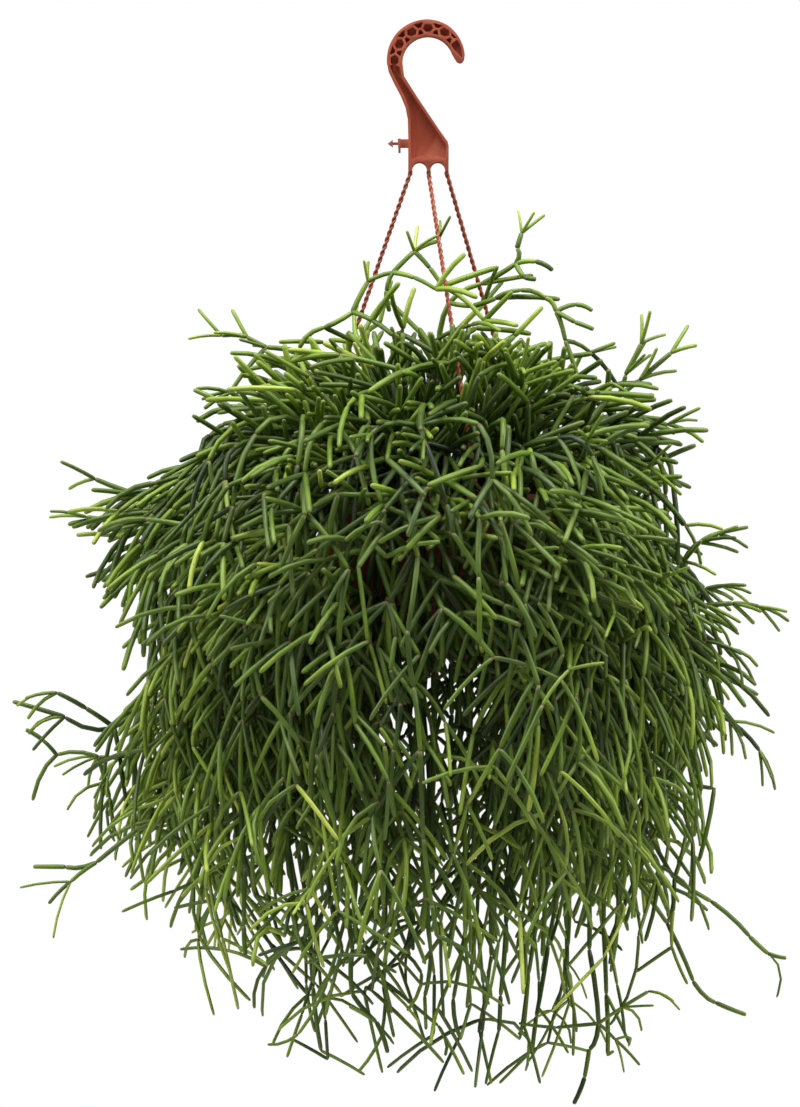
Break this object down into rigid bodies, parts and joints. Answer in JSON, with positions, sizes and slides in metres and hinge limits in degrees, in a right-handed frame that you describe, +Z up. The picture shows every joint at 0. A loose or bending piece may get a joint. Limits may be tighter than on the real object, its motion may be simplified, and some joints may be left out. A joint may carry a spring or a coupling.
{
  "type": "potted rhipsalis",
  "caption": "Bushy hanging rhipsalis with trailing jointed green stems in a red plastic hanging pot on a moulded hook.",
  "frame": {"origin": "seat at the top of the hook's inside, where the plant hangs", "axes": "+Z up, +X to the right seen from the front, +Y away from the front"},
  "size_m": [0.5037, 0.3785, 0.7006],
  "materials": {
    "red_plastic": "satin",
    "potting_soil": "matt",
    "stem_green": "satin"
  },
  "bodies": {
    "root": {"hook": "red_plastic", "pot": "red_plastic", "soil": "potting_soil", "stem_arch_left": "stem_green", "stem_curtain_01": "stem_green", "stem_curtain_02": "stem_green", "stem_curtain_03": "stem_green", "stem_curtain_04": "stem_green", "stem_curtain_05": "stem_green", "stem_curtain_06": "stem_green", "stem_curtain_07": "stem_green", "stem_curtain_08": "stem_green", "stem_curtain_09": "stem_green", "stem_curtain_10": "stem_green", "stem_curtain_11": "stem_green", "stem_curtain_12": "stem_green", "stem_curtain_13": "stem_green", "stem_curtain_14": "stem_green", "stem_dome_01": "stem_green", "stem_dome_02": "stem_green", "stem_dome_03": "stem_green", "stem_dome_04": "stem_green", "stem_dome_05": "stem_green", "stem_dome_06": "stem_green", "stem_dome_07": "stem_green", "stem_dome_08": "stem_green", "stem_dome_09": "stem_green", "stem_dome_10": "stem_green", "stem_dome_11": "stem_green", "stem_dome_12": "stem_green", "stem_front": "stem_green", "stem_front_top": "stem_green", "stem_left_far": "stem_green", "stem_left_low": "stem_green", "stem_left_lowest": "stem_green", "stem_left_shoulder": "stem_green", "stem_left_top": "stem_green", "stem_right_hanging": "stem_green", "stem_right_low": "stem_green", "stem_right_lowest": "stem_green", "stem_right_outer": "stem_green", "stem_right_shoulder": "stem_green", "stem_right_side": "stem_green", "stem_right_top": "stem_green", "stem_shoulder_01": "stem_green", "stem_shoulder_02": "stem_green", "stem_shoulder_03": "stem_green", "stem_shoulder_04": "stem_green", "stem_shoulder_05": "stem_green", "stem_shoulder_06": "stem_green", "stem_shoulder_07": "stem_green", "stem_shoulder_08": "stem_green", "stem_shoulder_09": "stem_green", "stem_shoulder_10": "stem_green", "stem_top_right": "stem_green", "strand_1": "red_plastic", "strand_2": "red_plastic", "strand_3": "red_plastic"}
  },
  "joints": []
}
